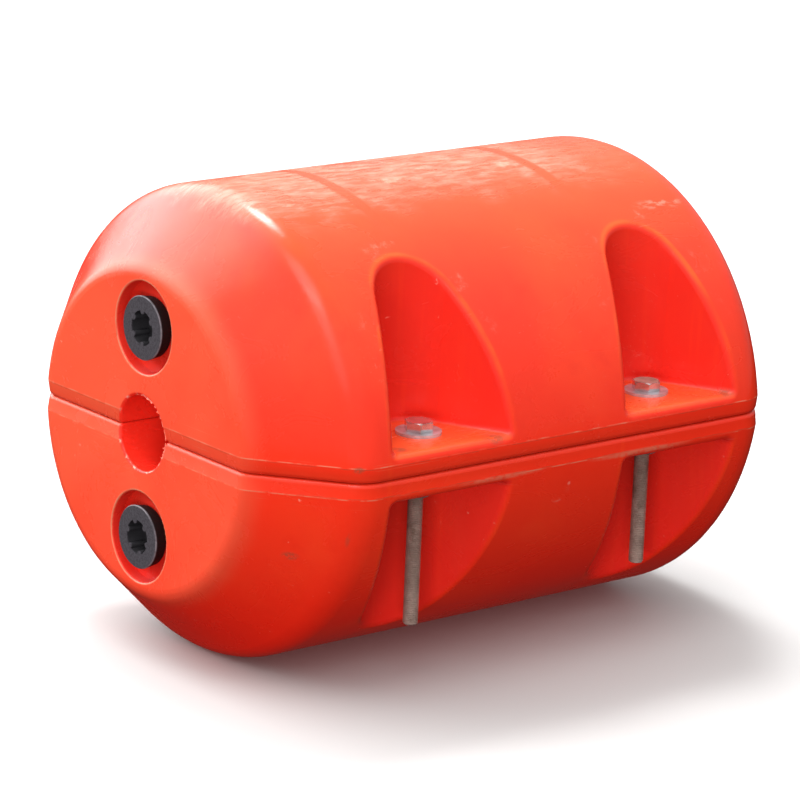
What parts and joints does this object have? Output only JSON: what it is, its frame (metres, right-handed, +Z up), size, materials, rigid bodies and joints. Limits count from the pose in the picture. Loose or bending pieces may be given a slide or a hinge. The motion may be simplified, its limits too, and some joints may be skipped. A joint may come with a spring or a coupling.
{
  "type": "pipe float",
  "caption": "Hollow orange moulded half shells that clamp round a pipe or hose with long side bolts in open pockets, to keep it afloat.",
  "frame": {"origin": "centre of the pipe bore, half way along it, on the face where the two halves meet", "axes": "+X along the bore away from the end with the filler plugs, +Z up through the half that holds the bolt heads"},
  "size_m": [0.702, 0.5456, 0.5],
  "materials": {
    "orange_polyethylene": "satin moulded polyethylene, scuffed",
    "black_plastic": "matt moulded plastic",
    "black_rubber": "soft flat rubber ring",
    "zinc_steel": "galvanised, with dull threads",
    "washer_steel": "zinc-plated pressed washer"
  },
  "bodies": {
    "root": {"upper_shell": "orange_polyethylene", "lower_shell": "orange_polyethylene", "upper_filler_plug": "black_plastic", "lower_filler_plug": "black_plastic", "upper_plug_seal": "black_rubber", "lower_plug_seal": "black_rubber", "bolt_near_front": "zinc_steel", "head_washer_near_front": "washer_steel", "nut_washer_near_front": "washer_steel", "nut_near_front": "zinc_steel", "bolt_near_back": "zinc_steel", "head_washer_near_back": "washer_steel", "nut_washer_near_back": "washer_steel", "nut_near_back": "zinc_steel", "bolt_far_front": "zinc_steel", "head_washer_far_front": "washer_steel", "nut_washer_far_front": "washer_steel", "nut_far_front": "zinc_steel", "bolt_far_back": "zinc_steel", "head_washer_far_back": "washer_steel", "nut_washer_far_back": "washer_steel", "nut_far_back": "zinc_steel"}
  },
  "joints": []
}
